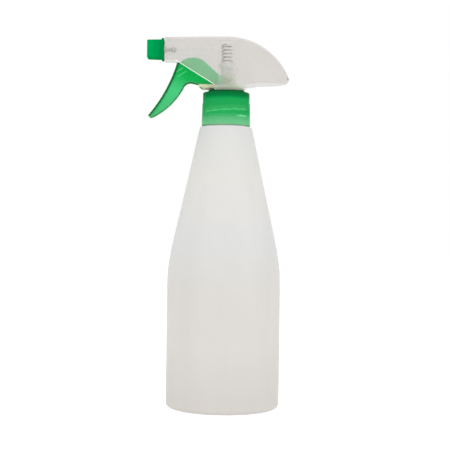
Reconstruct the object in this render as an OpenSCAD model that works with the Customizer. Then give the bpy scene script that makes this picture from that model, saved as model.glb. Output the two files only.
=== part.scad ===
// Hand mister: a screw-on trigger sprayer on a blow-moulded bottle.
// Frame: origin at the centre of the bottle's standing ring, +Z up, the nozzle points along -X.

/* [Bottle] */
// Outside diameter of the bottle's body
body_d = 73; // [70:0.5:76]
// Height of the ledge that the screw cap stops above
ledge_z = 180.6; // [176:0.2:185]
// Wall thickness of the bottle
bottle_wall = 1.0; // [0.8:0.1:1.4]
// Radius of the heel between the side and the standing ring
heel_r = 6.5; // [5:0.5:8]

/* [Neck thread] */
// Height of the neck above the ledge
neck_h = 18; // [17:0.2:19]
// Radius of the neck between its threads
neck_r = 12.5; // [12.3:0.1:12.6]
// Radius of the hole through the neck
neck_bore_r = 10.9; // [10.6:0.1:11.1]
// Rise of the thread in one turn
pitch = 4.233; // [4.1:0.001:4.4]
// Turns of thread on the neck
neck_turns = 1.5; // [1:0.25:1.5]

/* [Trigger and pump] */
// Lift of the piston for a full squeeze
stroke = 6; // [4:0.5:6]
// Distance from the trigger's pivot to the pump's axis
lever = 17.5; // [17:0.1:18]
// Outside width across the trigger's two side walls
trigger_w = 11.8; // [11.6:0.1:12]
// Radius of the pump chamber
chamber_r = 4.9; // [4.8:0.05:5]
// Diameter of the return spring's wire
wire_d = 0.8; // [0.6:0.05:0.8]

/* [Nozzle and shroud] */
// Height of the spray axis above the neck
spray_h = 31.5; // [31.2:0.1:31.8]
// Width and height of the square nozzle cap
nozzle_w = 12; // [11.8:0.1:12.6]
// Wall thickness of the shroud
shroud_wall = 1.2; // [1.1:0.1:1.2]
// Half of the shroud's width over the pump
shroud_half = 13; // [13:0.1:13.6]

/* [Hidden] */
$fn = 64;

// Colours
natural = [0.88, 0.88, 0.86];
cream = [0.90, 0.88, 0.78];
green = [0.10, 0.66, 0.36];
steel = [0.72, 0.73, 0.75];
seal_white = [0.93, 0.93, 0.92];

// Bottle
body_r = body_d / 2;
neck_top = ledge_z + neck_h;
cone_angle = 12.33;
blend_r = 95;
blend_z = ledge_z - 100.4;
blend_top = [body_r - blend_r * (1 - cos(cone_angle)), blend_z + blend_r * sin(cone_angle)];
ledge_corner_r = 1.5;
cone_top = [blend_top[0] - (ledge_z - ledge_corner_r - blend_top[1]) * tan(cone_angle),
            ledge_z - ledge_corner_r];
foot = [25.5, 29.5];
pushup = 3.5;

// Screw cap
cap_bottom = ledge_z + 0.6;
cap_roof = neck_top + 3.0;
cap_shoulder = cap_roof + 1.0;
cap_ring_top = cap_roof + 2.7;
cap_ring_r = 11.5;
cap_hole_r = 9.7;
cap_bore_r = 14.0;
cap_bottom_r = 15.65;
cap_top_r = 15.05;
thread_low = ledge_z + 9.0;
thread_gap = 0.35;

// Pump: everything on the Z axis above the neck
flange_z = neck_top + 1.5;
deck = [neck_top + 6.6, neck_top + 8.0];
deck_r = 11.2;
tray_x = -15.4;
bell_r = 8.2;
bell_bore_r = 6.9;
bell_roof = neck_top + 19.6;
column_r = 6.2;
chamber_top = neck_top + 35.4;
column_top = neck_top + 37.8;
pivot = [-lever, neck_top + 14.2];
boss_z = pivot[1] - stroke / 2;
boss_r = 1.2;
stub_r = 1.7;
ear = [2.6, 4.4];
stem_r = 3.0;
groove_r = 2.9;
tube_r = 2.5;
tube_bottom = 6;
head_bottom = neck_top + 20.0;
head_top = head_bottom + 3.4;

// Barrel: everything on the spray axis, towards -X
spray_z = neck_top + spray_h;
barrel_r = 3.6;
barrel_end = -46.5;
duct_r = 1.3;
valve_r = 2.2;
valve_x = -33;
outlet_seat_x = valve_x - 0.9;
plug_x = -39.5;
// A ball of radius r in a 45 degree seat touches it r * sqrt(2) from the cone's point
outlet_ball_r = 1.9;
outlet_ball_x = valve_x + duct_r - outlet_ball_r * sqrt(2) - 0.04;
inlet_bore_r = 1.35;
inlet_ball_r = 2.0;
cage_r = 2.4;
inlet_seat_z = boss_z + 3.4;
inlet_ball_z = inlet_seat_z - inlet_bore_r + inlet_ball_r * sqrt(2) + 0.04;
nozzle_front = -51.3;
nozzle_wall = 3.4;
seal_x = -42.4;
bead_x = -44.2;
flange_x = [-42, -40.5];

// Shroud outline
shroud_front = -40.2;
shroud_front_half = 7.3;
shroud_top = neck_top + 40.2;
roof_fall = 0.5;
arc_c = [1.2, neck_top - 2];
arc_r = shroud_top - arc_c[1];
tail_r = 3.5;
tail_z = neck_top + 13.5;
tail_x = arc_c[0] + sqrt(pow(arc_r, 2) - pow(tail_z - arc_c[1], 2));
skirt_z = neck_top + 4.7;
rim = [
    [shroud_front, neck_top + 24.2], [-33.4, neck_top + 24.2], [-8.0, neck_top + 8.2], [-7.4, skirt_z],
    [11.8, skirt_z], [12.8, neck_top + 8.7], [18.2, neck_top + 9.2], [19.6, neck_top + 9.8],
    [tail_x - tail_r, tail_z - tail_r]
];

// ---------- shared geometry ----------

// Points along an arc about c, from angle a to angle b
function arc(c, r, a, b, n) = [for (i = [0:n]) let(t = a + (b - a) * i / n) c + r * [cos(t), sin(t)]];

// Points from p to q along an arc that stands s to the right of the straight line
function bow(p, q, s, n) = let(
    d = q - p, len = norm(d), right = [d[1], -d[0]] / len,
    r = (len * len / 4 + s * s) / (2 * s), c = (p + q) / 2 - right * (r - s),
    half = asin(len / 2 / r), mid = atan2(right[1], right[0]))
    [for (i = [0:n]) let(t = mid + half * (2 * i / n - 1)) c + r * [cos(t), sin(t)]];

function reversed(v) = [for (i = [len(v) - 1:-1:0]) v[i]];

// Closed skin over a list of equal rings of points, with a flat cap at each end
module skin(rings) {
    n = len(rings[0]);
    m = len(rings);
    sides = [for (i = [0:m - 2], j = [0:n - 1], k = [0, 1]) let(
        a = i * n + j, b = i * n + (j + 1) % n, c = a + n, d = b + n)
        k == 0 ? [a, c, b] : [b, c, d]];
    polyhedron(points = [for (r = rings) each r],
               faces = concat([[for (j = [0:n - 1]) j]],
                              sides,
                              [[for (j = [n - 1:-1:0]) (m - 1) * n + j]]),
               convexity = 8);
}

// Helical ridge on a wall: it stands from radius root to radius tip, and fades in at both ends
module thread(root, tip, base_w, tip_w, z, from, to) {
    step = 12;
    fade = 30;
    count = ceil((to - from) / step);
    skin([for (i = [0:count]) let(
        a = from + (to - from) * i / count,
        rise = min(1, (a - from) / fade, (to - a) / fade),
        r = root + (tip - root) * (0.15 + 0.85 * rise),
        h = z + pitch * a / 360, side = sign(tip - root),
        flat = [[root, h - base_w / 2], [r, h - tip_w / 2], [r, h + tip_w / 2], [root, h + base_w / 2]])
        [for (p = side > 0 ? reversed(flat) : flat) [p[0] * cos(a), p[0] * sin(a), p[1]]]]);
}

// Height along a compression spring, as a share of its turns: closed ends and an open middle
function coil_z(turn, turns, length, d) = let(
    closed = 0.75, tight = d * 1.06, open = (length - d - 2 * closed * tight) / (turns - 2 * closed))
    turn < closed ? tight * turn
    : turn < turns - closed ? tight * closed + open * (turn - closed)
    : length - d - tight * (turns - turn);

// Compression spring standing on z = 0
module coil(mean_r, d, turns, length, steps, sides) {
    skin([for (i = [0:turns * steps])
        let(a = 360 * i / steps, h = d / 2 + coil_z(i / steps, turns, length, d))
        [for (j = [0:sides - 1]) let(t = -360 * j / sides, r = mean_r + d / 2 * cos(t))
            [r * cos(a), r * sin(a), h + d / 2 * sin(t)]]]);
}

// Lays a solid that stands along +Z at the origin along the spray axis, pointing to the nozzle
module along_barrel(x) {
    translate([x, 0, spray_z]) rotate([0, -90, 0]) children();
}

module ring(inner, outer, z, h) {
    translate([0, 0, z]) difference() {
        cylinder(r = outer, h = h);
        translate([0, 0, -1]) cylinder(r = inner, h = h + 2);
    }
}

// Flat plate in the XZ plane from its side outline, between two distances from the middle
module side_plate(outline, y0, y1) {
    translate([0, y1, 0]) rotate([90, 0, 0]) linear_extrude(y1 - y0) polygon(outline);
}

module both_sides() {
    children();
    mirror([0, 1, 0]) children();
}

module rounded_square(w, h, r) {
    square([w - 2 * r, h], center = true);
    square([w, h - 2 * r], center = true);
    for (x = [-1, 1], y = [-1, 1]) translate([x * (w / 2 - r), y * (h / 2 - r)]) circle(r);
}

// ---------- bottle ----------

// Side outline from the standing ring up to the ledge, set in by an even wall
function bottle_side(inset) = concat(
    arc([body_r - heel_r, heel_r], heel_r - inset, -88, 0, 8),
    arc([body_r - blend_r, blend_z], blend_r - inset, 0, cone_angle, 6),
    inset > 0 ? [cone_top + [-inset, 0]]
              : arc(cone_top - [ledge_corner_r, 0], ledge_corner_r, 0, 90, 4));

module bottle() {
    w = bottle_wall;
    bead = [ledge_z + 2.2, ledge_z + 3.4];
    color(natural) union() {
        rotate_extrude() polygon(concat(
            [[0, pushup], [foot[0] - 4, pushup - 0.6], [foot[0], 0], [foot[1], 0]],
            bottle_side(0),
            [[neck_r, ledge_z], [neck_r, bead[0]], [neck_r + 1.1, bead[0] + 0.2],
             [neck_r + 1.1, bead[1] - 0.2], [neck_r, bead[1]],
             [neck_r, neck_top - 0.4], [neck_r - 0.4, neck_top],
             [neck_bore_r, neck_top], [neck_bore_r, ledge_z - w]],
            reversed(bottle_side(w)),
            [[foot[0], w], [foot[0] - 4, pushup - 0.6 + w], [0, pushup + w]]));
        thread(neck_r - 0.2, neck_r + 1.15, 2.5, 1.2, thread_low, 0, 360 * neck_turns);
    }
}

// ---------- closure ----------

module screw_cap() {
    step_z = cap_bottom + 14;
    color(green) union() {
        rotate_extrude() polygon(concat(
            [[cap_bore_r, cap_bottom], [cap_bottom_r, cap_bottom],
             [cap_top_r + 0.28, step_z], [cap_top_r, step_z + 1.6]],
            arc([cap_top_r - 0.9, cap_shoulder - 0.6], 0.9, 0, 70, 3),
            [[cap_ring_r + 0.1, cap_shoulder + 0.3], [cap_ring_r, cap_ring_top - 0.2],
             [cap_ring_r - 0.3, cap_ring_top], [cap_hole_r, cap_ring_top],
             [cap_hole_r, cap_roof], [cap_bore_r, cap_roof]]));
        thread(cap_bore_r + 0.2, neck_r + 0.4, 1.8, 0.8,
               thread_low - pitch / 2 + thread_gap, -90, 400);
    }
}

module neck_gasket() {
    color(seal_white) ring(10.3, 12.9, neck_top + 0.02, 0.86);
}

// ---------- pump body ----------

// Outline of the upright part: flange under the cap's roof, neck, deck, bell and column
function upright() = [
    [0, flange_z], [12.9, flange_z], [12.9, cap_roof - 0.1], [cap_hole_r - 0.3, cap_roof - 0.1],
    [cap_hole_r - 0.3, deck[0]], [deck_r, deck[0]], [deck_r, deck[1]], [bell_r, deck[1]],
    [bell_r, bell_roof - 1.2], [bell_r - 0.6, bell_roof + 0.4], [column_r, bell_roof + 1.3],
    [column_r, column_top - 1], [column_r - 1, column_top], [0, column_top]
];

// One ear of the trigger's bearing, hung from the barrel
module bearing_ear() {
    reach = 3.3;
    side_plate(concat([[pivot[0] + 4.6, spray_z - 2], [pivot[0] - 4.6, spray_z - 2]],
                      arc(pivot, reach, 180, 360, 12)), ear[0], ear[1]);
}

// Side wall of the tray under the trigger's tail
module tray_side() {
    top_z = deck[1] + 0.8;
    side_plate([[-18.1, top_z], [-16.5, deck[0] + 0.7], [tray_x, deck[0]], [-7, deck[0]], [-7, top_z]],
               6.2, 7.2);
}

// Flange, neck, deck, bell and column in one turned piece, open at the front for the trigger's fork
module upright_body() {
    slot = 6.15;
    difference() {
        rotate_extrude() polygon(upright());
        translate([0, 0, flange_z - 1]) cylinder(r = bell_bore_r, h = bell_roof - flange_z + 1);
        translate([-9, -slot, deck[1]]) cube([6.5, 2 * slot, bell_roof - deck[1]]);
        translate([-9, -slot, bell_roof - 1]) cube([9 - column_r - 0.05, 2 * slot, 2.6]);
    }
}

// Bulkhead, saddle and spine that carry the shroud round the barrel
module shroud_frame() {
    saddle_z = rim[0][1] + 0.1;
    half = shroud_front_half - shroud_wall - 0.1;
    side_plate([[-39, spray_z + 2], [0, spray_z + 2], [0, column_top], [-39, column_top]], -0.6, 0.6);
    along_barrel(-38.6) linear_extrude(1.1) polygon(concat(
        [[saddle_z - spray_z, half], [saddle_z - spray_z, -half]],
        arc([1.3, -1.3], 4.7, -90, 0, 6),
        arc([1.3, 1.3], 4.7, 0, 90, 6)));
    translate([-39.7, -half, saddle_z]) cube([8, 2 * half, 1.2]);
}

module pump_body() {
    color(cream) difference() {
        union() {
            upright_body();
            translate([tray_x, -6.5, deck[0]]) cube([10, 13, deck[1] - deck[0]]);
            both_sides() tray_side();
            along_barrel(column_r - 12) cylinder(r = barrel_r, h = column_r - 12 - barrel_end);
            both_sides() bearing_ear();
            shroud_frame();
            // bead that the nozzle cap snaps over
            along_barrel(bead_x) cylinder(r1 = barrel_r, r2 = barrel_r + 0.3, h = 0.6);
        }
        // chamber, and the duct that runs from it to the valve seat and the valve's cavity
        translate([0, 0, bell_roof - 1]) cylinder(r = chamber_r, h = chamber_top - bell_roof + 1);
        along_barrel(0) cylinder(r = duct_r, h = -valve_x + 1);
        along_barrel(valve_x) cylinder(r1 = duct_r, r2 = valve_r, h = valve_x - outlet_seat_x);
        along_barrel(outlet_seat_x) cylinder(r = valve_r, h = outlet_seat_x - barrel_end + 1);
        // groove of the nozzle's seal
        along_barrel(seal_x) ring(barrel_r - 0.5, barrel_r + 1, 0, 1);
        // holes of the trigger's stubs
        translate([pivot[0], 10, pivot[1]]) rotate([90, 0, 0]) cylinder(r = stub_r + 0.05, h = 20);
    }
}

module base_insert() {
    guide_r = 4.2;
    rim_z = neck_top + 0.9;
    color(natural) rotate_extrude() polygon([
        [stem_r + 0.06, rim_z + 1.4], [guide_r + 0.9, rim_z + 1.4], [guide_r + 0.9, rim_z], [11.6, rim_z],
        [11.6, flange_z - 0.03], [bell_bore_r - 0.05, flange_z - 0.03], [bell_bore_r - 0.05, flange_z + 3],
        [guide_r, flange_z + 3], [guide_r, boss_z - boss_r - 1.3], [stem_r + 0.06, boss_z - boss_r - 1.3]
    ]);
}

module stem_seal() {
    color(seal_white) ring(stem_r + 0.03, 5.0, neck_top + 0.95, 1.3);
}

// ---------- piston and inlet valve ----------

module piston() {
    socket_top = boss_z - 8.8;
    flange = [boss_z - boss_r - 0.1, boss_z + boss_r + 0.1];
    color(natural) rotate_extrude() polygon([
        [tube_r + 0.02, socket_top - 10], [stem_r, socket_top - 10],
        [stem_r, flange[0] - 1.0], [4.5, flange[0] - 1.0], [4.5, flange[0]], [groove_r, flange[0]],
        [groove_r, flange[1]], [4.5, flange[1]], [4.5, flange[1] + 1.1], [3.6, flange[1] + 1.1],
        [3.6, head_bottom], [chamber_r - 0.15, head_bottom], [chamber_r - 0.15, head_bottom + 1.1],
        [chamber_r - 1.1, head_bottom + 1.1], [chamber_r - 1.1, head_top - 0.9],
        [chamber_r - 0.15, head_top - 0.9], [chamber_r - 0.15, head_top],
        [cage_r, head_top], [cage_r, inlet_seat_z + cage_r - inlet_bore_r], [inlet_bore_r, inlet_seat_z],
        [inlet_bore_r, socket_top], [tube_r + 0.02, socket_top]
    ]);
}

module piston_cup() {
    color(seal_white) rotate_extrude() polygon([
        [chamber_r - 1.08, head_bottom + 1.15], [chamber_r - 0.35, head_bottom + 1.15],
        [chamber_r - 0.03, head_bottom + 1.75], [chamber_r - 0.03, head_top - 0.95],
        [chamber_r - 1.08, head_top - 0.95]
    ]);
}

// Pressed disc with three flow holes that keeps the inlet ball in the piston
module ball_cage() {
    color(cream) translate([0, 0, head_top - 1.4]) difference() {
        cylinder(r = cage_r - 0.01, h = 1.4);
        for (a = [0:120:240]) rotate([0, 0, a]) translate([1.35, 0, -1]) cylinder(r = 0.5, h = 4);
    }
}

module inlet_ball() {
    color(steel) translate([0, 0, inlet_ball_z]) sphere(r = inlet_ball_r);
}

module return_spring() {
    color(steel) translate([0, 0, head_top + 0.03])
        coil(3.2, wire_d, 5.75, chamber_top - head_top - 0.06, 24, 8);
}

module dip_tube() {
    color(natural) ring(1.7, tube_r, tube_bottom, boss_z - 8.85 - tube_bottom);
}

// ---------- outlet valve and nozzle ----------

module outlet_ball() {
    color(steel) translate([outlet_ball_x, 0, spray_z]) sphere(r = outlet_ball_r);
}

module outlet_spring() {
    back = outlet_ball_x - outlet_ball_r;
    color(steel) along_barrel(back - 0.03) coil(1.3, 0.3, 4.5, back - plug_x - 0.06, 16, 6);
}

module swirl_plug() {
    color(cream) along_barrel(plug_x) difference() {
        cylinder(r = valve_r - 0.05, h = plug_x - barrel_end);
        for (a = [0:120:240]) rotate([0, 0, a]) translate([valve_r - 0.75, -0.4, -1]) cube([2, 0.8, 10]);
        translate([0, 0, plug_x - barrel_end - 0.6]) cylinder(r = 1.0, h = 1);
    }
}

module nozzle_seal() {
    color(seal_white) along_barrel(seal_x - 0.03) ring(barrel_r - 0.47, barrel_r + 0.12, 0, 0.94);
}

module nozzle_cap() {
    depth = flange_x[1] - nozzle_front;
    color(green) along_barrel(flange_x[1]) difference() {
        union() {
            linear_extrude(depth) rounded_square(nozzle_w, nozzle_w, 1.6);
            linear_extrude(flange_x[1] - flange_x[0]) rounded_square(nozzle_w + 1.7, nozzle_w + 1.7, 1.9);
        }
        // sleeve round the barrel, the orifice, and the recess in front of it
        translate([0, 0, -1]) cylinder(r = barrel_r + 0.15, h = 1 + depth - nozzle_wall - 0.9);
        translate([0, 0, depth - nozzle_wall - 2]) cylinder(r = 0.4, h = 10);
        translate([0, 0, depth - 1.7]) cylinder(r1 = 2.2, r2 = 4.2, h = 2);
        // groove that takes the barrel's bead
        translate([0, 0, flange_x[1] - bead_x - 0.3]) cylinder(r = barrel_r + 0.45, h = 1.2);
        // hollow between the sleeve and the square outside
        translate([0, 0, -1]) linear_extrude(1 + depth - nozzle_wall) difference() {
            rounded_square(nozzle_w - 2.6, nozzle_w - 2.6, 0.9);
            circle(barrel_r + 1.35);
        }
    }
}

// ---------- trigger ----------

front_top = [-31.8, neck_top + 22.4];
front_tip = [-50, neck_top - 11.6];
front_bow = 2.0;
web_c = [-23.2, neck_top + 5.4];
web_r = 5.1;
hump_c = [-21.6, neck_top + 13.9];
hump_r = 12;
tail_tip = [0.2, boss_z];

// Outline of a straight strip of width w from p to q
function strip(p, q, w) = let(n = [q[1] - p[1], p[0] - q[0]] / norm(q - p) * w / 2)
    [p + n, q + n, q - n, p - n];

// Side outline: down the finger side, round the tip, up the back, along the tail and over the hump
function trigger_side() = concat(
    reversed(bow(front_tip, front_top, front_bow, 10)),
    [front_tip + [0.45, -0.5], front_tip + [1.4, -0.7], front_tip + [2.4, -0.4]],
    bow(front_tip + [3.25, 0], web_c + [-4.65, 1.9], 2, 8),
    arc(web_c, web_r, 150, 78, 5),
    [[-16, deck[1] + 1], [tail_tip[0], boss_z - 1.8]],
    arc(tail_tip, 1.8, -60, 75, 5),
    [[-4.6, boss_z + 3.6]],
    arc(hump_c, hump_r, 46, 130, 12));

module trigger() {
    half = trigger_w / 2;
    wall = 1.3;
    plate = 1.5;
    overhang = 0.7;
    color(green) union() {
        both_sides() side_plate(trigger_side(), half - wall, half);
        // finger plate
        side_plate(concat(reversed(bow(front_tip, front_top, front_bow, 10)),
                          [front_tip + [plate * 0.35, -0.55], front_tip + [plate * 0.85, -0.55]],
                          bow(front_tip + [plate * 1.1, 0.3], front_top + [plate * 1.05, 0.3],
                              front_bow, 10)),
                   -half - overhang, half + overhang);
        // cross ribs between the side walls
        side_plate(strip(front_top + [-2.4, -7], front_top + [5.8, -1.6], 1), wall - half, half - wall);
        side_plate(strip(front_tip + [8, 10.4], front_tip + [13, 7.6], 1), wall - half, half - wall);
        // stubs that turn in the ears, and bosses that lift the piston
        both_sides() {
            translate([pivot[0], half, pivot[1]]) rotate([90, 0, 0])
                cylinder(r = stub_r, h = half - ear[0] + 0.1);
            translate([0, half, boss_z]) rotate([90, 0, 0])
                cylinder(r = boss_r, h = half - groove_r - 0.3);
        }
    }
}

// ---------- shroud ----------

function shroud_roof(x) = x < arc_c[0] ? shroud_top - roof_fall * (arc_c[0] - x) / (arc_c[0] - shroud_front)
    : arc_c[1] + sqrt(max(0, pow(arc_r, 2) - pow(x - arc_c[0], 2)));
function shroud_floor(x) = x < tail_x - tail_r ? lookup(x, rim)
    : tail_z - sqrt(max(0, pow(tail_r, 2) - pow(x - tail_x + tail_r, 2)));
function shroud_side(x) = let(
    widen = min(1, max(0, (x - shroud_front) / 40)),
    grown = shroud_front_half + (shroud_half - shroud_front_half) * widen * widen * (3 - 2 * widen),
    back = min(1, max(0, (x - 4) / (tail_x - 4))))
    grown * sqrt(max(0, 1 - back * back));
function shroud_crown(x) = 7 + 5 * min(1, max(0, (x + 12) / 20));

// Outline of one cross section, from one lower edge over the top to the other
function shroud_section(x, wall) = let(
    side = max(0.5, shroud_side(x) - wall), roof = shroud_roof(x) - wall, floor = shroud_floor(x),
    crown = min(shroud_crown(x) - wall, (roof - floor) * 0.85), power = 2 / 2.5)
    concat([[x, -side, floor]],
           [for (i = [0:12]) let(t = 180 - 15 * i)
               [x, side * sign(cos(t)) * pow(abs(cos(t)), power), roof - crown + crown * pow(sin(t), power)]],
           [[x, side, floor]]);

// Places along the shroud: no more than 4 mm apart and at each corner of the rim, then round the tail
stations = concat(
    [for (i = [0:len(rim) - 2]) let(a = rim[i][0], b = rim[i + 1][0], n = ceil((b - a) / 4))
        each [for (k = [0:n - 1]) a + (b - a) * k / n]],
    [for (a = [0:11:88]) tail_x - tail_r * (1 - sin(a)) - 0.02]);

module shroud() {
    outer = [for (x = stations) shroud_section(x, 0)];
    inner_end = tail_x - shroud_wall - 0.5;
    inner = [for (x = stations) shroud_section(min(x, inner_end + (x - tail_x) * 0.1), shroud_wall)];
    n = len(outer[0]);
    m = len(outer);
    top = m * n;
    last = (m - 1) * n;
    color([0.86, 0.86, 0.84, 0.6]) polyhedron(
        points = concat([for (s = outer) each s], [for (s = inner) each s]),
        faces = concat(
            // outside and inside
            [for (i = [0:m - 2], j = [0:n - 2], k = [0, 1]) let(a = i * n + j)
                k == 0 ? [a, a + n, a + 1] : [a + 1, a + n, a + n + 1]],
            [for (i = [0:m - 2], j = [0:n - 2], k = [0, 1]) let(a = top + i * n + j)
                k == 0 ? [a, a + 1, a + n] : [a + 1, a + n + 1, a + n]],
            // open front edge
            [for (j = [0:n - 2], k = [0, 1]) k == 0 ? [j, j + 1, top + j] : [j + 1, top + j + 1, top + j]],
            // rim along both sides
            [for (i = [0:m - 2], k = [0, 1]) let(a = i * n)
                k == 0 ? [a, top + a, a + n] : [a + n, top + a, top + a + n]],
            [for (i = [0:m - 2], k = [0, 1]) let(a = i * n + n - 1)
                k == 0 ? [a, a + n, top + a] : [a + n, top + a + n, top + a]],
            // rounded back: outside cap, inside cap, and the rim between them
            [[for (j = [n - 1:-1:0]) last + j]],
            [[for (j = [0:n - 1]) top + last + j]],
            [[last, top + last, last + n - 1], [top + last, top + last + n - 1, last + n - 1]]),
        convexity = 8);
}

bottle();
screw_cap();
neck_gasket();
dip_tube();
pump_body();
base_insert();
stem_seal();
shroud();
trigger();
piston();
piston_cup();
ball_cage();
inlet_ball();
return_spring();
outlet_ball();
outlet_spring();
swirl_plug();
nozzle_seal();
nozzle_cap();
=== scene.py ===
"""Hand mister: a trigger sprayer on a blow-moulded bottle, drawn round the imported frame.

Shapes are worked out in millimetres and scaled by MM when a mesh is made. The bottle's axis is
x = y = 0, the table is z = 0, and the nozzle points along -x.
"""
from math import atan2, ceil, cos, degrees, pi, radians, sin, sqrt, tan

import bmesh
import bpy
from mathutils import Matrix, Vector


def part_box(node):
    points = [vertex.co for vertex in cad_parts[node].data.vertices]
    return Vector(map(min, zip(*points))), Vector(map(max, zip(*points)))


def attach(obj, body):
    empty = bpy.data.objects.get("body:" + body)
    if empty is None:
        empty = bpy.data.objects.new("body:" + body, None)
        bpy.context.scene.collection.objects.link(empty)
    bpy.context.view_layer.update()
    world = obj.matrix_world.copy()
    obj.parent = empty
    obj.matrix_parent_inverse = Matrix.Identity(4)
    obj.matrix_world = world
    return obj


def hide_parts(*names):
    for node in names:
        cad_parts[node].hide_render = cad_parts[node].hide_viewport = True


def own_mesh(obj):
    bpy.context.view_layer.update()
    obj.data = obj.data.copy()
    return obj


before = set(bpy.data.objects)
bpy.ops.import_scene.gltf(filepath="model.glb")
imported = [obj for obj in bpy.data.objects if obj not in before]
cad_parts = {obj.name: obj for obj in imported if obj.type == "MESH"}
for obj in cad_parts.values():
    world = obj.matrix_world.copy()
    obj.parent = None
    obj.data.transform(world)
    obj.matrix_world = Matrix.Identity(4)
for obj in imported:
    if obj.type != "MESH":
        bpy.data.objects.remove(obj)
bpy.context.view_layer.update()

MM = 0.001
MERGE_DISTANCE = 1e-5


# ---------- sizes, from the frame ----------

def box_mm(node):
    """A node's lowest and highest corners, in millimetres."""
    low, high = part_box(node)
    return low / MM, high / MM


bottle_high = box_mm("bottle")[1]
cap_low, cap_high = box_mm("screw_cap")
shroud_low, shroud_high = box_mm("shroud")
nozzle_low, nozzle_high = box_mm("nozzle_cap")
spring_low, spring_high = box_mm("return_spring")
valve_low, valve_high = box_mm("outlet_spring")

BODY_R = bottle_high.x
NECK_TOP = bottle_high.z
LEDGE_Z = NECK_TOP - 18.0
NECK_R = 12.5
PITCH = 4.233
THREAD_Z = LEDGE_Z + 9.0
CAP_ROOF = NECK_TOP + 3.0
DECK_TOP = NECK_TOP + 8.0
SPRAY_Z = (nozzle_low.z + nozzle_high.z) / 2
BOSS_Z = NECK_TOP + 11.2


# ---------- outlines ----------

def clamp(value):
    return max(0.0, min(1.0, value))


def smooth(value):
    """Eases from 0 to 1."""
    value = clamp(value)
    return value * value * (3 - 2 * value)


def turn_between(start, end):
    """Angle from one direction to another, signed, the short way round."""
    return atan2(start.x * end.y - start.y * end.x, start.dot(end))


def swung(centre, arm, turn, pieces):
    """Points that the end of an arm passes as it turns about a centre."""
    points = []
    for k in range(pieces + 1):
        a = turn * k / pieces
        points.append(centre + Vector((arm.x * cos(a) - arm.y * sin(a), arm.x * sin(a) + arm.y * cos(a))))
    return points


def rounded(corners, step=10.0):
    """Points of an open outline through corners (x, z, radius). An arc turns each, with a point per step."""
    points = []
    for i, (x, z, radius) in enumerate(corners):
        here = Vector((x, z))
        if i in (0, len(corners) - 1) or radius <= 0:
            points.append(here)
            continue
        before = Vector(corners[i - 1][:2]) - here
        after = Vector(corners[i + 1][:2]) - here
        half = before.angle(after) / 2
        reach = min(radius / tan(half), 0.48 * before.length, 0.48 * after.length)
        radius = reach * tan(half)
        centre = here + (before.normalized() + after.normalized()).normalized() * radius / sin(half)
        start = here + before.normalized() * reach - centre
        end = here + after.normalized() * reach - centre
        turn = turn_between(start, end)
        points += swung(centre, start, turn, max(2, ceil(abs(degrees(turn)) / step)))
    return points


def split_long(points, longest):
    """The same outline with points added so that no step is longer than this."""
    result = [points[0]]
    for a, b in zip(points, points[1:]):
        pieces = max(1, ceil((b - a).length / longest))
        result += [a.lerp(b, k / pieces) for k in range(1, pieces + 1)]
    return result


def bow(p, q, sagitta, count):
    """Points from p to q along an arc that stands sagitta to the right of the straight line."""
    p, q = Vector(p), Vector(q)
    d = q - p
    right = Vector((d.y, -d.x)).normalized()
    radius = (d.length_squared / 4 + sagitta ** 2) / (2 * sagitta)
    centre = (p + q) / 2 - right * (radius - sagitta)
    return swung(centre, p - centre, turn_between(p - centre, q - centre), count)


def arc(centre, radius, start, end, count):
    """Points round a centre from one angle to another, in degrees."""
    centre = Vector(centre)
    angles = [radians(start + (end - start) * k / count) for k in range(count + 1)]
    return [centre + radius * Vector((cos(a), sin(a))) for a in angles]


def strip(p, q, width):
    """Outline of a straight strip from p to q."""
    p, q = Vector(p), Vector(q)
    d = (q - p).normalized() * width / 2
    side = Vector((d.y, -d.x))
    return [p + side, q + side, q - side, p - side]


# ---------- meshes ----------

def new_object(name, bm):
    """Object from a bmesh in millimetres, in the scene's metres."""
    bmesh.ops.scale(bm, vec=(MM, MM, MM), verts=bm.verts)
    bmesh.ops.recalc_face_normals(bm, faces=bm.faces)
    mesh = bpy.data.meshes.new(name)
    bm.to_mesh(mesh)
    bm.free()
    obj = bpy.data.objects.new(name, mesh)
    bpy.context.scene.collection.objects.link(obj)
    return obj


def loft(name, rings, ring_closed=True, along_closed=False, capped=False):
    """Skin over equal rings of 3-D points. capped puts a face on the first and the last ring."""
    bm = bmesh.new()
    rows = [[bm.verts.new(p) for p in ring] for ring in rings]
    pairs = list(zip(rows, rows[1:]))
    if along_closed:
        pairs.append((rows[-1], rows[0]))
    for a, b in pairs:
        last = len(a) if ring_closed else len(a) - 1
        for j in range(last):
            k = (j + 1) % len(a)
            bm.faces.new((a[j], a[k], b[k], b[j]))
    if capped:
        bm.faces.new(rows[0])
        bm.faces.new(list(reversed(rows[-1])))
    bmesh.ops.remove_doubles(bm, verts=bm.verts, dist=MERGE_DISTANCE)
    return new_object(name, bm)


def lathe(name, outline, angles, shape, closed):
    """Turns an outline of (r, z) points about the z axis. shape moves a point: (j, r, z, angle) to (r, z)."""
    rings = []
    for a in angles:
        ring = []
        for j, point in enumerate(outline):
            r, z = shape(j, point.x, point.y, a)
            ring.append((r * cos(a), r * sin(a), z))
        rings.append(ring)
    return loft(name, rings, ring_closed=closed, along_closed=True)


def plate(outline, y0, y1):
    """Straight plate between two distances from the middle, from its side outline of (x, z) points."""
    bm = bmesh.new()
    near = [bm.verts.new((p[0], y0, p[1])) for p in outline]
    far = [bm.verts.new((p[0], y1, p[1])) for p in outline]
    bm.faces.new(near)
    bm.faces.new(list(reversed(far)))
    for j in range(len(near)):
        k = (j + 1) % len(near)
        bm.faces.new((near[k], near[j], far[j], far[k]))
    return new_object("part", bm)


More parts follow.
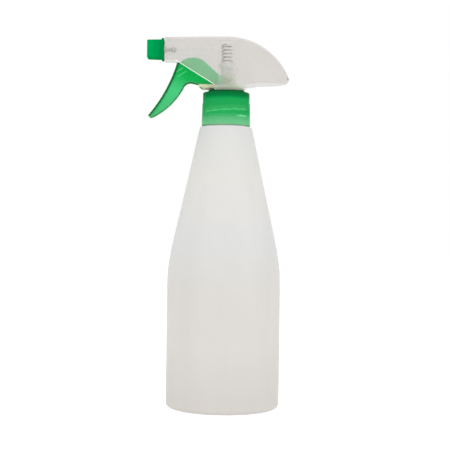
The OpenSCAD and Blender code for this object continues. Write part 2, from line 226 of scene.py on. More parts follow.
def rod(start, end, radius, sides, end_radius=None):
    """Round rod or cone between two points."""
    start, end = Vector(start), Vector(end)
    axis = (end - start).normalized()
    u = axis.orthogonal().normalized()
    v = axis.cross(u)
    rings = []
    for centre, r in ((start, radius), (end, radius if end_radius is None else end_radius)):
        rings.append([centre + r * (u * cos(2 * pi * k / sides) + v * sin(2 * pi * k / sides))
                      for k in range(sides)])
    return loft("part", rings, capped=True)


def evaluated(obj):
    """Turns an object's modifiers into its mesh."""
    graph = bpy.context.evaluated_depsgraph_get()
    mesh = bpy.data.meshes.new_from_object(obj.evaluated_get(graph), depsgraph=graph)
    old = obj.data
    obj.modifiers.clear()
    obj.data = mesh
    bpy.data.meshes.remove(old)


def combine(base, operation, others):
    """Boolean of an object with others, which are used up."""
    for other in others:
        modifier = base.modifiers.new("combine", "BOOLEAN")
        modifier.operation = operation
        modifier.solver = "EXACT"
        modifier.object = other
        evaluated(base)
        bpy.data.objects.remove(other)


def bevelled(obj, width, segments, angle):
    """Rounds the edges that are sharper than an angle in degrees."""
    modifier = obj.modifiers.new("edges", "BEVEL")
    modifier.width = width * MM
    modifier.segments = segments
    modifier.limit_method = "ANGLE"
    modifier.angle_limit = radians(angle)
    modifier.use_clamp_overlap = True
    evaluated(obj)


def polish(obj, angle=35.0):
    """Smooth shading with sharp edges kept."""
    obj.data.shade_smooth()
    obj.data.set_sharp_from_angle(angle=radians(angle))


def paint(obj, choose):
    """Gives each face the material whose place in the piece's list choose(centre) returns."""
    for face in obj.data.polygons:
        face.material_index = choose(face.center / MM)


def piece(obj, name, materials, body, node):
    """Names a finished piece, gives it its materials, ties it to its body, and hides the CAD node that it
    replaces.
    """
    obj.name = name
    obj.data.name = name
    places = [face.material_index for face in obj.data.polygons]
    obj.data.materials.clear()
    for material in materials:
        obj.data.materials.append(material)
    for face, place in zip(obj.data.polygons, places):
        face.material_index = place
    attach(obj, body)
    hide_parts(node)


# ---------- material nodes ----------

def linear(*srgb):
    """Linear colour of an 8-bit sRGB one."""
    parts = [c / 255 for c in srgb]
    return tuple(c / 12.92 if c <= 0.04045 else ((c + 0.055) / 1.055) ** 2.4 for c in parts)


def stretched(tree, place, scale):
    node = tree.nodes.new("ShaderNodeMapping")
    node.inputs["Scale"].default_value = scale
    tree.links.new(place, node.inputs["Vector"])
    return node.outputs["Vector"]


def noise(tree, size_mm, detail, place):
    node = tree.nodes.new("ShaderNodeTexNoise")
    node.inputs["Scale"].default_value = 1 / (size_mm * MM)
    node.inputs["Detail"].default_value = detail
    tree.links.new(place, node.inputs["Vector"])
    return node.outputs["Fac"]


def between(tree, value, low, high, out_low, out_high):
    """Maps the range low to high onto out_low to out_high."""
    node = tree.nodes.new("ShaderNodeMapRange")
    limits = {"From Min": low, "From Max": high, "To Min": out_low, "To Max": out_high}
    for socket, number in limits.items():
        node.inputs[socket].default_value = number
    tree.links.new(value, node.inputs["Value"])
    return node.outputs["Result"]


def darkened(tree, shade, factor, share):
    """A shade, which is a colour or a socket, times share where factor is 1."""
    node = tree.nodes.new("ShaderNodeMix")
    node.data_type = "RGBA"
    node.blend_type = "MULTIPLY"
    tree.links.new(factor, node.inputs["Factor"])
    if isinstance(shade, tuple):
        node.inputs["A"].default_value = (*shade, 1)
    else:
        tree.links.new(shade, node.inputs["A"])
    node.inputs["B"].default_value = (share, share, share, 1)
    return node.outputs["Result"]


def faded(tree, place, colour, fade):
    """A colour that changes along a straight way through the piece."""
    start, end, stops = fade
    way = (Vector(end) - Vector(start)) * MM
    dot = tree.nodes.new("ShaderNodeVectorMath")
    dot.operation = "DOT_PRODUCT"
    tree.links.new(place, dot.inputs[0])
    dot.inputs[1].default_value = way
    first = (Vector(start) * MM).dot(way)
    along = between(tree, dot.outputs["Value"], first, first + way.length_squared, 0, 1)
    ramp = tree.nodes.new("ShaderNodeValToRGB")
    bands = ramp.color_ramp.elements
    bands[0].color = (*colour, 1)
    for share, tint in stops[:-1]:
        bands.new(share).color = (*tint, 1)
    bands[-1].color = (*stops[-1][1], 1)
    tree.links.new(along, ramp.inputs["Fac"])
    return ramp.outputs["Color"]


def bumpy(tree, waves, grain, strength):
    """A normal from slow waves in a moulding's face and the fine grain on them."""
    wave_share = 2.5
    depth = 0.05
    total = tree.nodes.new("ShaderNodeMath")
    total.operation = "MULTIPLY_ADD"
    tree.links.new(waves, total.inputs[0])
    total.inputs[1].default_value = wave_share
    tree.links.new(grain, total.inputs[2])
    bump = tree.nodes.new("ShaderNodeBump")
    bump.inputs["Strength"].default_value = strength
    bump.inputs["Distance"].default_value = depth * MM
    tree.links.new(total.outputs[0], bump.inputs["Height"])
    return bump.outputs["Normal"]


def plastic(name, colour, roughness, fade=None, alpha=1.0, mottle=0.94, mottle_size=9.0, grain=0.2,
            grain_size=0.5, flow=(1, 1, 1), subsurface=0.0, scatter=1.0, painted_glow=0.0, gloss=0.5):
    """Moulded plastic: its shade wanders a little, with a fine grain and faint handling wear in the gloss.

    fade is (from point, to point, [(share of the way, colour)]), in mm: a colour that changes along a way,
    which some pieces use for painted light and shade. mottle is the darkest share of the shade, and flow
    stretches the mottle along the mould's flow. mottle_size, grain_size and scatter, the depth of the
    subsurface light, are in mm. painted_glow is painted light, an emission in the plastic's own colour, and
    gloss is the specular level.
    """
    wear_low, wear_high = -0.04, 0.10
    material = bpy.data.materials.new(name)
    material.use_nodes = True
    tree = material.node_tree
    shader = tree.nodes["Principled BSDF"]
    place = tree.nodes.new("ShaderNodeTexCoord").outputs["Object"]
    flowing = stretched(tree, place, flow)

    shade = faded(tree, place, colour, fade) if fade else colour
    cloud = between(tree, noise(tree, mottle_size, 3, flowing), 0.35, 0.7, 0, 1)
    tree.links.new(darkened(tree, shade, cloud, mottle), shader.inputs["Base Color"])

    wear = noise(tree, mottle_size * 0.6, 6, place)
    worn = between(tree, wear, 0.35, 0.75, roughness + wear_low, roughness + wear_high)
    tree.links.new(worn, shader.inputs["Roughness"])

    waves = noise(tree, mottle_size * 0.5, 2, flowing)
    normal = bumpy(tree, waves, noise(tree, grain_size, 3, place), grain)
    tree.links.new(normal, shader.inputs["Normal"])

    shader.inputs["Alpha"].default_value = alpha
    shader.inputs["Specular IOR Level"].default_value = gloss
    shader.inputs["Subsurface Weight"].default_value = subsurface
    shader.inputs["Subsurface Radius"].default_value = (1.0, 1.0, 1.0)
    shader.inputs["Subsurface Scale"].default_value = scatter * MM
    # painted light: the plastic glows in its own colour, though it is no lamp
    if painted_glow:
        shader.inputs["Emission Color"].default_value = (*colour, 1)
        shader.inputs["Emission Strength"].default_value = painted_glow
    return material


def steel(name, shade):
    """Steel: fine grain and a slight unevenness in the gloss."""
    material = plastic(name, (shade, shade * 1.03, shade * 1.06), 0.28, mottle=0.8, grain_size=0.08)
    material.node_tree.nodes["Principled BSDF"].inputs["Metallic"].default_value = 1.0
    return material


# ---------- materials ----------

bottle_white_painted_shade = plastic(
    "bottle_polyethylene_painted_shade", linear(196, 192, 187), 0.46, mottle=0.97, mottle_size=16, flow=(1, 1, 0.25),
    grain=0.25, grain_size=0.6, subsurface=0.15, scatter=4, gloss=0.04,
    # painted shade: darker towards the base, lightest high on the body, as the light falls from above
    fade=((0, 0, 8), (0, 0, 180), [
        (0.19, linear(202, 199, 194)), (0.37, linear(202, 199, 194)), (0.58, linear(202, 202, 201)),
        (0.8, linear(206, 204, 200)), (1, linear(200, 201, 199))]))
# painted light: the neck glows a little, standing in for the light that reaches it through the cap
neck_white_painted_light = plastic("neck_polyethylene_painted_light", linear(178, 180, 174), 0.4, painted_glow=0.3, gloss=0.1)
# painted highlight: the thread crests are lighter and glow more, to show as light lines through the cap
neck_thread_painted_highlight = plastic("neck_thread_painted_highlight", linear(190, 192, 186), 0.4, painted_glow=0.7, gloss=0.1)

shroud_clear = plastic(
    "shroud_polypropylene", linear(180, 173, 166), 0.36, alpha=0.33, mottle=0.97, gloss=0.15)
shroud_inside = plastic("shroud_inside", linear(180, 173, 166), 0.5, alpha=0.08, mottle=0.97, gloss=0.05)
# painted light: the skirt is paler and less clear, over the shade under the deck
shroud_skirt_painted_light = plastic("shroud_skirt_painted_light", linear(180, 188, 176), 0.36, alpha=0.45, mottle=0.97, gloss=0.1)
# painted highlight: a bright, faintly glowing line along the slanted rim
shroud_lip_painted_highlight = plastic(
    "shroud_edge_painted_highlight", linear(250, 250, 246), 0.3, alpha=0.8, mottle=0.97, grain=0.1, painted_glow=0.1)

cap_side = plastic(
    "cap_polypropylene", linear(0, 160, 78), 0.42, alpha=0.87, gloss=0.02,
    fade=((0, 0, cap_low.z + 2), (0, 0, NECK_TOP), [(1, linear(0, 156, 76))]))
cap_hem_painted_light = plastic(
    "cap_hem_painted_light", linear(0, 164, 82), 0.42, alpha=0.76, gloss=0.02,
    # painted light: paler towards the bottom edge, standing in for the lit white neck behind the thin hem
    fade=((0, 0, cap_low.z + 7.5), (0, 0, cap_low.z), [
        (0.35, linear(56, 176, 104)), (1, linear(104, 194, 134))]))
cap_deep = plastic(
    "cap_roof", linear(0, 148, 73), 0.4, alpha=0.95, gloss=0.03,
    fade=((0, 0, NECK_TOP - 0.5), (0, 0, NECK_TOP + 4.3), [
        (0.35, linear(0, 116, 56)), (1, linear(0, 92, 42))]))
cap_thread = plastic("cap_thread", linear(0, 160, 74), 0.35, alpha=0.35, gloss=0.05)
# painted highlight: the inner thread crests are pale and glow, as light lines round the cap
cap_crest_painted_highlight = plastic("cap_thread_crest_painted_highlight", linear(170, 235, 185), 0.35, alpha=0.95, painted_glow=1.2, gloss=0.05)
cap_skirt = plastic("cap_skirt_inside", linear(120, 210, 140), 0.35, alpha=0.1, gloss=0.05)

trigger_green_painted_light = plastic(
    "trigger_polypropylene_painted_light", linear(66, 178, 108), 0.32, alpha=0.92, gloss=0.06,
    # painted light: lighter at the far end, where the lever sits under the shroud, against the shroud's
    # shadow; the middle stops darken it across the web
    fade=((-19.2, 0, NECK_TOP - 30.5), (5.3, 0, NECK_TOP + 8.5), [
        (0.5, linear(66, 190, 120)), (0.72, linear(12, 168, 76)), (0.82, linear(12, 170, 77)),
        (0.9, linear(44, 198, 122)), (1, linear(50, 202, 126))]))
trigger_edge = plastic("trigger_finger_plate", linear(0, 104, 46), 0.3, gloss=0.06)
trigger_rib = plastic("trigger_rib_line", linear(84, 194, 122), 0.3, gloss=0.1)

nozzle_green = plastic(
    "nozzle_polypropylene", linear(0, 148, 77), 0.42, mottle=0.86, mottle_size=5, gloss=0.0,
    # darker towards the flange: partly the barrel inside showing through, partly painted shade by the flange
    fade=((nozzle_low.x + 3, 0, 0), (nozzle_high.x, 0, 0), [(1, linear(0, 128, 66))]))

pump_cream = plastic("pump_polypropylene", linear(188, 197, 160), 0.4, gloss=0.2)
# painted light: the clear chamber glows faintly in its own colour
pump_clear_painted_light = plastic("pump_chamber_painted_light", linear(216, 216, 212), 0.35, alpha=0.13, painted_glow=0.3, gloss=0.1)
natural = plastic("natural_polypropylene", linear(216, 221, 222), 0.4, gloss=0.2)
seal_rubber = plastic("seal_elastomer", linear(232, 232, 228), 0.6, grain=0.3, grain_size=0.3)
wire_steel = steel("drawn_steel", 0.16)
bright_steel = steel("ball_steel", 0.6)


# ---------- threads ----------

def turns_round(count, seams=(), seam_offsets=()):
    """Angles round a circle, with extra ones beside each seam."""
    clear = max(seam_offsets, default=0) * 1.4
    same_place = 1e-6

    def apart(a, b):
        d = abs(a - b) % (2 * pi)
        return min(d, 2 * pi - d)

    def usable(a):
        """An even angle is left out where it would crowd the extra ones."""
        return all(apart(a, seam) > clear or apart(a, seam) < same_place for seam in seams)

    even = [2 * pi * k / count for k in range(count)]
    near = [(seam + side * offset) % (2 * pi)
            for seam in seams for offset in seam_offsets for side in (-1, 1)]
    return sorted([a for a in even if usable(a)] + near)


def ridge_share(z, angle, start_z, start_angle, turns, foot, tip):
    """How much of its height a helical ridge has at this height and angle, from 0 to 1."""
    run_out = 0.12
    first = ((angle - start_angle) % (2 * pi)) / (2 * pi)
    best = 0.0
    for lap in range(ceil(turns) + 1):
        along = first + lap
        if along > turns:
            break
        off = abs(z - start_z - PITCH * along)
        share = clamp((foot / 2 - off) / (foot / 2 - tip / 2))
        best = max(best, share * clamp(min(along, turns - along) / run_out))
    return best


# ---------- bottle ----------

SEAM_HEIGHT = 0.10
SEAM_HALF_ANGLE = 0.0075
SHELL_R = BODY_R - SEAM_HEIGHT
NECK_THREAD = (LEDGE_Z + 7.4, NECK_TOP - 1.2)


def bottle_outlines():
    """Outside from the middle of the base up to the lip, and inside from the lip back down."""
    wall = 1.0
    cone = radians(12.33)
    cone_height = 100.4
    blend_r = 95.0
    lip_r = 11.7
    bore_r = 10.9
    bead_r = NECK_R + 1.1
    rows = 30
    corner_z = LEDGE_Z - cone_height + blend_r * tan(cone / 2)
    ledge_r = SHELL_R - (LEDGE_Z - corner_z) * tan(cone)
    low, high = NECK_THREAD
    outside = rounded([
        (0, 3.5, 0), (21.5, 2.9, 9), (25.5, 0.02, 2.5), (29.6, 0.0, 0.5), (SHELL_R, 0.0, 6.5),
        (SHELL_R, corner_z, blend_r), (ledge_r, LEDGE_Z, 1.5), (NECK_R, LEDGE_Z, 0.6),
        (NECK_R, LEDGE_Z + 2.2, 0.2), (bead_r, LEDGE_Z + 2.4, 0.3), (bead_r, LEDGE_Z + 3.2, 0.3),
        (NECK_R, LEDGE_Z + 3.4, 0.2), (NECK_R, low, 0)], step=6)
    outside = split_long(outside, 6.0)
    outside += [Vector((NECK_R, low + (high - low) * k / rows)) for k in range(1, rows + 1)]
    outside += rounded([(NECK_R, high, 0), (NECK_R, NECK_TOP, 0.5), (lip_r, NECK_TOP, 0)])[1:]
    inside = rounded([
        (lip_r, NECK_TOP, 0), (bore_r, NECK_TOP, 0.4), (bore_r, LEDGE_Z - wall, 2),
        (ledge_r - wall * 1.05, LEDGE_Z - wall, 3), (SHELL_R - wall, corner_z, blend_r),
        (SHELL_R - wall, wall, 6), (25.5, wall, 2), (21.5, 3.9, 8), (0, 4.5, 0)])[1:]
    return outside, inside


def make_bottle():
    foot_r = 29
    pinch_r, pinch_half, pinch_depth = 21, 0.9, 0.7
    ridge_height, turns, foot, tip = 1.15, 1.5, 2.5, 1.2
    outside, inside = bottle_outlines()

    def shape(j, r, z, a):
        if j >= len(outside):
            return r, z
        if NECK_THREAD[0] < z < NECK_THREAD[1]:
            return r + ridge_height * ridge_share(z, a, THREAD_Z, 0, turns, foot, tip), z
        # the mould's parting line runs up both sides, and the blown wall is a little uneven
        if r > foot_r and z > 1:
            ridge = clamp(1 - abs(sin(a)) / SEAM_HALF_ANGLE)
            settle = 0.04 * sin(3 * a + z * 0.05) * clamp(z / 20) * clamp((LEDGE_Z - 4 - z) / 20)
            return r + SEAM_HEIGHT * ridge * clamp((z - 3) / 6) + settle, z
        # the mould's pinch line crosses the base
        if 1 < r < pinch_r and abs(r * sin(a)) < pinch_half:
            return r, z - pinch_depth * clamp(1 - abs(r * sin(a)) / pinch_half)
        return r, z

    angles = turns_round(144, (0, pi), (0.0035, SEAM_HALF_ANGLE, 0.014))
    obj = lathe("bottle", outside + inside, angles, shape, closed=False)
    polish(obj)
    body, neck, thread = range(3)

    def zone(c):
        if c.z < LEDGE_Z + 0.3:
            return body
        # the neck and its thread crests take the materials with painted light: the neck glows faintly, the
        # crests brighter
        on_crest = Vector((c.x, c.y)).length > NECK_R + 0.6
        return thread if on_crest and NECK_THREAD[0] < c.z < NECK_THREAD[1] else neck

    paint(obj, zone)
    piece(obj, "bottle_shell", [bottle_white_painted_shade, neck_white_painted_light, neck_thread_painted_highlight], "bottle", "bottle")


# ---------- screw cap ----------

def make_cap():
    bottom, ring_top = cap_low.z, cap_high.z
    bore_r = 14.0
    roof_r = 15.05
    ring_r = 11.5
    hole_r = 9.7
    low, high = bottom + 4.2, bottom + 13.6
    start_z = THREAD_Z - PITCH / 2 + 0.35 - PITCH / 4
    ridge_height, turns, foot, tip = 1.1, 490 / 360, 1.8, 0.8
    rows = 26
    outline = split_long(rounded([
        (bore_r + 0.3, bottom, 0), (cap_high.x, bottom, 0.35), (15.33, bottom + 14, 0.5),
        (roof_r, bottom + 15.2, 0.5), (roof_r, CAP_ROOF + 1.0, 0.9), (ring_r + 0.1, CAP_ROOF + 1.3, 0.3),
        (ring_r, ring_top, 0.3), (hole_r, ring_top, 0.2), (hole_r, CAP_ROOF, 0),
        (bore_r, CAP_ROOF, 0.3), (bore_r, high, 0)], step=15), 1.5)
    thread_start = len(outline)
    outline += [Vector((bore_r, high + (low - high) * k / rows)) for k in range(1, rows + 1)]
    thread_end = len(outline)
    outline += rounded([(bore_r, low, 0), (bore_r, bottom + 0.5, 0.2), (bore_r + 0.3, bottom, 0)])[1:-1]

    def shape(j, r, z, a):
        if thread_start <= j < thread_end:
            return r - ridge_height * ridge_share(z, a, start_z, -pi / 2, turns, foot, tip), z
        return r, z

    obj = lathe("cap", outline, turns_round(120), shape, closed=True)
    polish(obj)
    side, deep, thread, skirt, crest, hem = range(6)

    def zone(c):
        if c.z > NECK_TOP - 0.3:
            return deep
        out = Vector((c.x, c.y)).length
        # the hem takes the painted light of the neck behind it, and the inner thread crests the painted
        # highlight
        if out > bore_r + 0.2:
            return hem if c.z < bottom + 6.5 else side
        if out < bore_r - 0.8:
            return crest
        return thread if c.z > low + 1 else skirt

    paint(obj, zone)
    materials = [cap_side, cap_deep, cap_thread, cap_skirt, cap_crest_painted_highlight, cap_hem_painted_light]
    piece(obj, "screw_cap_shell", materials, "cap", "screw_cap")


# ---------- shroud ----------

FRONT_X = shroud_low.x
TAIL_X = shroud_high.x
SKIRT_Z = shroud_low.z
ROOF_FALL = 0.5
EDGE_R = 0.25
SLANT = (-33, -7)
ARC_C = Vector((1.2, NECK_TOP - 2))
ARC_R = shroud_high.z - ARC_C.y
TAIL_R = 3.5
TAIL_Z = NECK_TOP + 13.5
RIM = rounded([
    (FRONT_X, NECK_TOP + 24.2, 0), (-33.4, NECK_TOP + 24.2, 2.5), (-8.0, NECK_TOP + 8.2, 1.2),
    (-7.4, SKIRT_Z, 0.8), (11.8, SKIRT_Z, 0.8), (12.8, NECK_TOP + 8.7, 0.8), (18.2, NECK_TOP + 9.2, 1.5),
    (19.6, NECK_TOP + 9.8, 1.5), (TAIL_X - TAIL_R, TAIL_Z - TAIL_R, 2.0)], step=8)
RIM += arc((TAIL_X - TAIL_R, TAIL_Z), TAIL_R, -90, -4, 12)[1:]


def roof_z(x):
    if x < ARC_C.x:
        return shroud_high.z - ROOF_FALL * (ARC_C.x - x) / (ARC_C.x - FRONT_X)
    return ARC_C.y + sqrt(max(0, ARC_R ** 2 - (x - ARC_C.x) ** 2))


def half_width(x):
    front_half = 7.3
    grows_over = 40
    narrows_from = 4
    grown = front_half + (shroud_high.y - front_half) * smooth((x - FRONT_X) / grows_over)
    back = clamp((x - narrows_from) / (TAIL_X - narrows_from))
    return grown * sqrt(1 - back * back)


def crown_height(x):
    """How far below the roof the sides start to curve in: further over the column than at the front."""
    return 7 + 5 * clamp((x + 12) / 20)


def shroud_section(x, floor, inset):
    """Points of one cross section from the lower edge on one side, over the top, to the other side."""
    wall_rows, crown_rows = 7, 22
    lip = 0.4
    narrowest = 0.25
    power = 2 / 2.5
    side = max(narrowest, half_width(x) - inset)
    roof = roof_z(x) - inset
    crown = min(crown_height(x) - inset, (roof - floor) * 0.85)
    heights = [floor + EDGE_R, floor + lip]
    heights += [floor + lip + (roof - crown - floor - lip) * k / wall_rows for k in range(1, wall_rows)]
    left = [(x, -side, z) for z in heights]
    over = []
    for k in range(crown_rows + 1):
        t = pi * (1 - k / crown_rows)
        y = side * (1 if cos(t) > 0 else -1) * abs(cos(t)) ** power
        over.append((x, y, roof - crown + crown * abs(sin(t)) ** power))
    right = [(x, side, z) for z in reversed(heights)]
    return left + over + right


def shroud_rows():
    """Closed sections from the front to the tail: two lower points, outside, two lower points, inside."""
    wall = 1.2
    inner_end = TAIL_X - wall - 0.3
    rows = []
    for x, floor in split_long(RIM, 1.2):
        outer = shroud_section(x, floor, 0)
        inner_x = min(x, inner_end + (x - TAIL_X) * 0.05)
        inner = shroud_section(inner_x, floor, wall)
        side, inner_side = abs(outer[0][1]), abs(inner[0][1])
        turn_out = min(EDGE_R, (side - inner_side) * 0.4)
        left = [(inner_x, -inner_side - turn_out, floor), (x, -side + turn_out, floor)]
        right = [(x, side - turn_out, floor), (inner_x, inner_side + turn_out, floor)]
        rows.append(left + outer + right + list(reversed(inner)))
    return rows


def make_shroud():
    """Thin shell open underneath and at the front. The slanted edge above the trigger gathers light, painted
    on as a bright highlight.
    """
    clear, inside, lip, skirt = range(4)
    bm = bmesh.new()
    rows = [[bm.verts.new(p) for p in row] for row in shroud_rows()]
    count = len(rows[0])
    outer_count = (count - 4) // 2
    edges = {0, 1, 2, outer_count, outer_count + 1, outer_count + 2, outer_count + 3, count - 1}

    def zone(x, j, z):
        # the slanted edge takes the painted highlight
        if SLANT[0] < x < SLANT[1] and j in edges:
            return lip
        at_tail = x > TAIL_X - 1.5 * TAIL_R
        if j > outer_count + 2 or (at_tail and j in edges):
            return inside
        # the skirt takes the paler material, painted light over the shade under the deck
        return skirt if z < DECK_TOP - 0.5 else clear

    for a, b in zip(rows, rows[1:]):
        for j in range(count):
            k = (j + 1) % count
            face = bm.faces.new((a[j], a[k], b[k], b[j]))
            face.material_index = zone(a[0].co.x, j, face.calc_center_median().z)
    # the open front and the tail: join each outer point to its inner one
    for row, flip in ((rows[0], False), (rows[-1], True)):
        outer = row[1:3 + outer_count]
        inner = [row[0]] + list(reversed(row[4 + outer_count:])) + [row[3 + outer_count]]
        for j in range(len(outer) - 1):
            corners = (outer[j], outer[j + 1], inner[j + 1], inner[j])
            bm.faces.new(tuple(reversed(corners)) if flip else corners)
    obj = new_object("shroud", bm)
    polish(obj, 40)
    materials = [shroud_clear, shroud_inside, shroud_lip_painted_highlight, shroud_skirt_painted_light]
    piece(obj, "shroud_shell", materials, "head", "shroud")


# ---------- trigger ----------

FRONT_TOP = Vector((-31.8, NECK_TOP + 22.4))
FRONT_TIP = Vector((-50, NECK_TOP - 11.6))
FRONT_BOW = 2.0
WEB_C = Vector((-23.2, NECK_TOP + 5.4))
WEB_R = 5.1
HUMP_C = Vector((-21.6, NECK_TOP + 13.9))
HUMP_R = 12.0
TAIL_TIP = (0.2, BOSS_Z)
TAIL_TIP_R = 1.8
PIVOT = (-17.5, NECK_TOP + 14.2)


def trigger_side():
    """Side outline: down the finger side, round the tip, up the back, along the tail and over the hump."""
    outline = list(reversed(bow(FRONT_TIP, FRONT_TOP, FRONT_BOW, 16)))
    outline += [FRONT_TIP + Vector(p) for p in ((0.45, -0.5), (1.4, -0.7), (2.4, -0.4))]
    outline += bow(FRONT_TIP + Vector((3.25, 0)), WEB_C + Vector((-4.65, 1.9)), 2.0, 14)
    outline += arc(WEB_C, WEB_R, 150, 78, 8)
    outline += [Vector((-16, DECK_TOP + 1)), Vector((TAIL_TIP[0], TAIL_TIP[1] - TAIL_TIP_R))]
    outline += arc(TAIL_TIP, TAIL_TIP_R, -60, 75, 8)
    outline += [Vector((-4.6, BOSS_Z + 3.6))]
    outline += arc(HUMP_C, HUMP_R, 46, 130, 20)
    return outline


def finger_plate():
    thick = 1.5
    front = list(reversed(bow(FRONT_TIP, FRONT_TOP, FRONT_BOW, 16)))
    tip = [FRONT_TIP + Vector((thick * 0.35, -0.55)), FRONT_TIP + Vector((thick * 0.85, -0.55))]
    back = bow(FRONT_TIP + Vector((thick * 1.1, 0.3)), FRONT_TOP + Vector((thick * 1.05, 0.3)), FRONT_BOW, 16)
    return front + tip + back


def cross_rib(origin, p, q, width, half):
    """Strip from origin + p to origin + q that reaches as far as half to both sides."""
    return plate(strip(origin + Vector(p), origin + Vector(q), width), -half, half)


def make_trigger():
    half = 5.9
    wall = 1.3
    overhang = 0.7
    line_height = 0.1
    side = trigger_side()
    body = plate(side, half - wall, half)
    parts = [plate(side, -half, wall - half), plate(finger_plate(), -half - overhang, half + overhang)]
    parts.append(cross_rib(FRONT_TOP, (-2.4, -7), (5.8, -1.6), 1.0, half - wall))
    parts.append(cross_rib(FRONT_TIP, (8, 10.4), (13, 7.6), 1.0, half - wall))
    # the faint lines that the upper rib leaves on the outside of both walls
    for shift in (0, 2.2):
        p, q = (-1.8 + shift, -6.8 - shift), (3.8 + shift, -3.0 - shift)
        parts.append(cross_rib(FRONT_TOP, p, q, 0.5, half + line_height))
    for sign in (-1, 1):
        for (x, z), start, radius, sides in ((PIVOT, 2.6, 1.7, 40), ((0, BOSS_Z), 3.2, 1.2, 32)):
            parts.append(rod((x, sign * start, z), (x, sign * (half - 0.6), z), radius, sides))
    combine(body, "UNION", parts)
    bevelled(body, 0.25, 2, 32)
    polish(body, 40)
    main, plate_edge, rib_line = range(3)

    def zone(c):
        if abs(c.y) > half + 0.15:
            return plate_edge
        return rib_line if abs(c.y) > half + 0.08 else main

    paint(body, zone)
    materials = [trigger_green_painted_light, trigger_edge, trigger_rib]
    piece(body, "trigger_lever", materials, "trigger", "trigger")


# ---------- nozzle cap ----------

def square_ring(x, width, radius):
    """Rounded square across the spray axis at x."""
    per_corner = 8
    half = width / 2 - radius
    ring = []
    for corner, (sy, sz) in enumerate(((1, 1), (-1, 1), (-1, -1), (1, -1))):
        for k in range(per_corner + 1):
            a = radians(90 * corner + 90 * k / per_corner)
            ring.append((x, sy * half + radius * cos(a), SPRAY_Z + sz * half + radius * sin(a)))
    return ring


def axial_rod(start_x, end_x, radius, sides=48, end_radius=None):
    """Rod or cone along the spray axis."""
    return rod((start_x, 0, SPRAY_Z), (end_x, 0, SPRAY_Z), radius, sides, end_radius)


def make_nozzle():
    back, front = nozzle_high.x, nozzle_low.x
    flange = nozzle_high.y * 2
    flange_x = back - 1.5
    body = flange - 1.7
    bead_x = -44.2
    inner_end = front + 3.4
    shell = loft("nozzle", [
        square_ring(back, flange - 0.5, 1.7), square_ring(back - 0.25, flange, 1.9),
        square_ring(flange_x + 0.25, flange, 1.9), square_ring(flange_x, flange - 0.5, 1.7),
        square_ring(flange_x, body + 0.3, 1.6), square_ring(flange_x - 0.25, body, 1.6),
        square_ring(front + 0.7, body - 0.35, 1.5), square_ring(front + 0.2, body - 0.65, 1.4),
        square_ring(front, body - 1.3, 1.2)], capped=True)
    hollow = loft("hollow", [
        square_ring(back + 1, body - 2.6, 0.9), square_ring(inner_end, body - 2.8, 0.9)], capped=True)
    combine(hollow, "DIFFERENCE", [axial_rod(back + 2, inner_end - 0.5, 4.95)])
    # the hollow round the sleeve, then the sleeve's bore and snap groove, the spray hole and its flare
    combine(shell, "DIFFERENCE", [
        hollow,
        axial_rod(back + 1, inner_end + 0.9, 3.75),
        axial_rod(bead_x + 0.3, bead_x - 0.9, 4.05),
        axial_rod(inner_end + 2, front - 1, 0.4, 16),
        axial_rod(front + 1.7, front - 0.3, 2.2, end_radius=4.2)])
    bevelled(shell, 0.12, 1, 45)
    polish(shell, 30)
    piece(shell, "nozzle_square", [nozzle_green], "nozzle", "nozzle_cap")


# ---------- pump body ----------

def make_pump():
    """The CAD body's own shape with its edges rounded: a cream deck and tray, and a clearer chamber above."""
    obj = bpy.data.objects.new("pump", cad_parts["pump_body"].data.copy())
    bpy.context.scene.collection.objects.link(obj)
    flat = obj.modifiers.new("flat", "DECIMATE")
    flat.decimate_type = "DISSOLVE"
    flat.angle_limit = radians(1)
    evaluated(obj)
    bevelled(obj, 0.2, 2, 40)
    polish(obj)
    cream, clear = range(2)

    def zone(c):
        in_tray = c.x < -6.9 and c.z < DECK_TOP + 2
        # the chamber above takes the faintly glowing material, painted light
        return cream if c.z < DECK_TOP + 0.1 or in_tray else clear

    paint(obj, zone)
    piece(obj, "pump_housing", [pump_cream, pump_clear_painted_light], "head", "pump_body")


# ---------- springs ----------

def coil_height(turn, turns, length, wire):
    """Height of the wire above its start, with the turns at both ends wound close."""
    closed = 0.75
    tight = wire * 1.06
    open_rise = (length - wire - 2 * closed * tight) / (turns - 2 * closed)
    if turn < closed:
        return tight * turn
    if turn < turns - closed:
        return tight * closed + open_rise * (turn - closed)
    return length - wire - tight * (turns - turn)


def coil(mean_r, wire, turns, length, steps, sides):
    """Rings of a compression spring that stands on z = 0 along +z."""
    rings = []
    for i in range(round(turns * steps) + 1):
        a = 2 * pi * i / steps
        h = wire / 2 + coil_height(i / steps, turns, length, wire)
        ring = []
        for k in range(sides):
            t = 2 * pi * k / sides
            r = mean_r + wire / 2 * cos(t)
            ring.append(Vector((r * cos(a), r * sin(a), h + wire / 2 * sin(t))))
        rings.append(ring)
    return rings


def make_return_spring():
    length = spring_high.z - spring_low.z
    rings = [[p + Vector((0, 0, spring_low.z)) for p in ring]
             for ring in coil(3.2, 0.8, 5.75, length, 36, 12)]
    spring = loft("spring", rings, capped=True)
    polish(spring)
    piece(spring, "return_spring_coil", [wire_steel], "head", "return_spring")
    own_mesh(spring)


def make_outlet_spring():
    length = valve_high.x - valve_low.x
    rings = [[Vector((valve_high.x - p.z, p.y, SPRAY_Z + p.x)) for p in ring]
             for ring in coil(1.3, 0.3, 4.5, length, 28, 10)]
    spring = loft("valve_spring", rings, capped=True)
    polish(spring)
    piece(spring, "outlet_spring_coil", [bright_steel], "head", "outlet_spring")
    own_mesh(spring)


# ---------- CAD pieces that keep their shape ----------

def dress(node, material):
    """Gives a CAD node its material."""
    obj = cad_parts[node]
    obj.data.materials.clear()
    obj.data.materials.append(material)
    polish(obj)


# ---------- stage, in metres ----------

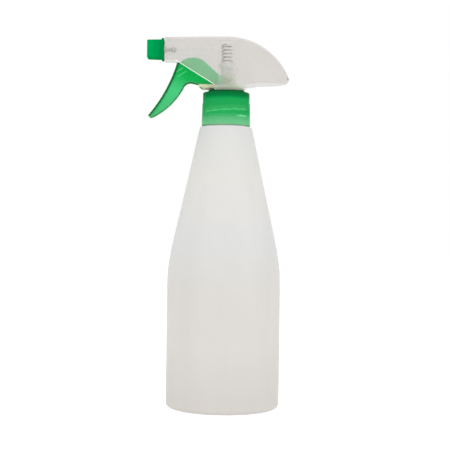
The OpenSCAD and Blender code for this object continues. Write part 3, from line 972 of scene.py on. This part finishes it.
def make_floor():
    bm = bmesh.new()
    bmesh.ops.create_circle(bm, cap_ends=True, segments=96, radius=4000)
    floor = new_object("floor", bm)
    material = bpy.data.materials.new("paper")
    material.use_nodes = True
    shader = material.node_tree.nodes["Principled BSDF"]
    shader.inputs["Base Color"].default_value = (0.35, 0.35, 0.35, 1)
    shader.inputs["Roughness"].default_value = 0.9
    shader.inputs["Specular IOR Level"].default_value = 0.1
    shader.inputs["Emission Color"].default_value = (1, 1, 1, 1)
    shader.inputs["Emission Strength"].default_value = 0.8
    floor.data.materials.append(material)
    floor.location.z = -0.02 * MM


def make_world():
    world = bpy.data.worlds.new("studio")
    world.use_nodes = True
    background = world.node_tree.nodes["Background"]
    background.inputs["Color"].default_value = (1.0, 1.0, 1.0, 1)
    background.inputs["Strength"].default_value = 1.0
    bpy.context.scene.world = world


def area_light(name, place, aim, size, power):
    data = bpy.data.lights.new(name, "AREA")
    data.shape = "DISK"
    data.size = size
    data.energy = power
    light = bpy.data.objects.new(name, data)
    bpy.context.scene.collection.objects.link(light)
    light.location = place
    light.rotation_euler = (Vector(aim) - Vector(place)).to_track_quat("-Z", "Y").to_euler()


def make_stage():
    make_floor()
    make_world()
    area_light("key", (-0.5, -0.9, 1.1), (0, 0, 0.13), 0.9, 4.6)
    area_light("fill", (0.9, -0.7, 0.5), (0, 0, 0.13), 0.9, 2.2)
    area_light("rim", (0.3, 0.9, 0.9), (0, 0, 0.15), 0.8, 0.4)
    bpy.context.scene.view_settings.view_transform = "Standard"
    # a line of sight through shroud and column crosses more clear faces than the usual limit of eight
    bpy.context.scene.cycles.transparent_max_bounces = 32


def make_camera():
    distance = 0.72
    width_seen = 0.29097
    sensor_mm = 36
    data = bpy.data.cameras.new("camera")
    data.sensor_width = sensor_mm
    data.lens = sensor_mm * distance / width_seen
    data.clip_start = 0.01
    camera = bpy.data.objects.new("camera", data)
    bpy.context.scene.collection.objects.link(camera)
    camera.location = (0.00035, -distance, 0.1174)
    camera.rotation_euler = (radians(90), radians(-0.81), 0)
    bpy.context.scene.camera = camera


# ---------- the whole mister ----------

make_camera()
make_stage()
make_bottle()
make_cap()
make_shroud()
make_trigger()
make_nozzle()
make_pump()
make_return_spring()
make_outlet_spring()
for moulding in ("base_insert", "piston", "dip_tube"):
    dress(moulding, natural)
for moulding in ("ball_cage", "swirl_plug"):
    dress(moulding, pump_cream)
for seal in ("neck_gasket", "stem_seal", "piston_cup", "nozzle_seal"):
    dress(seal, seal_rubber)
for ball in ("inlet_ball", "outlet_ball"):
    dress(ball, bright_steel)
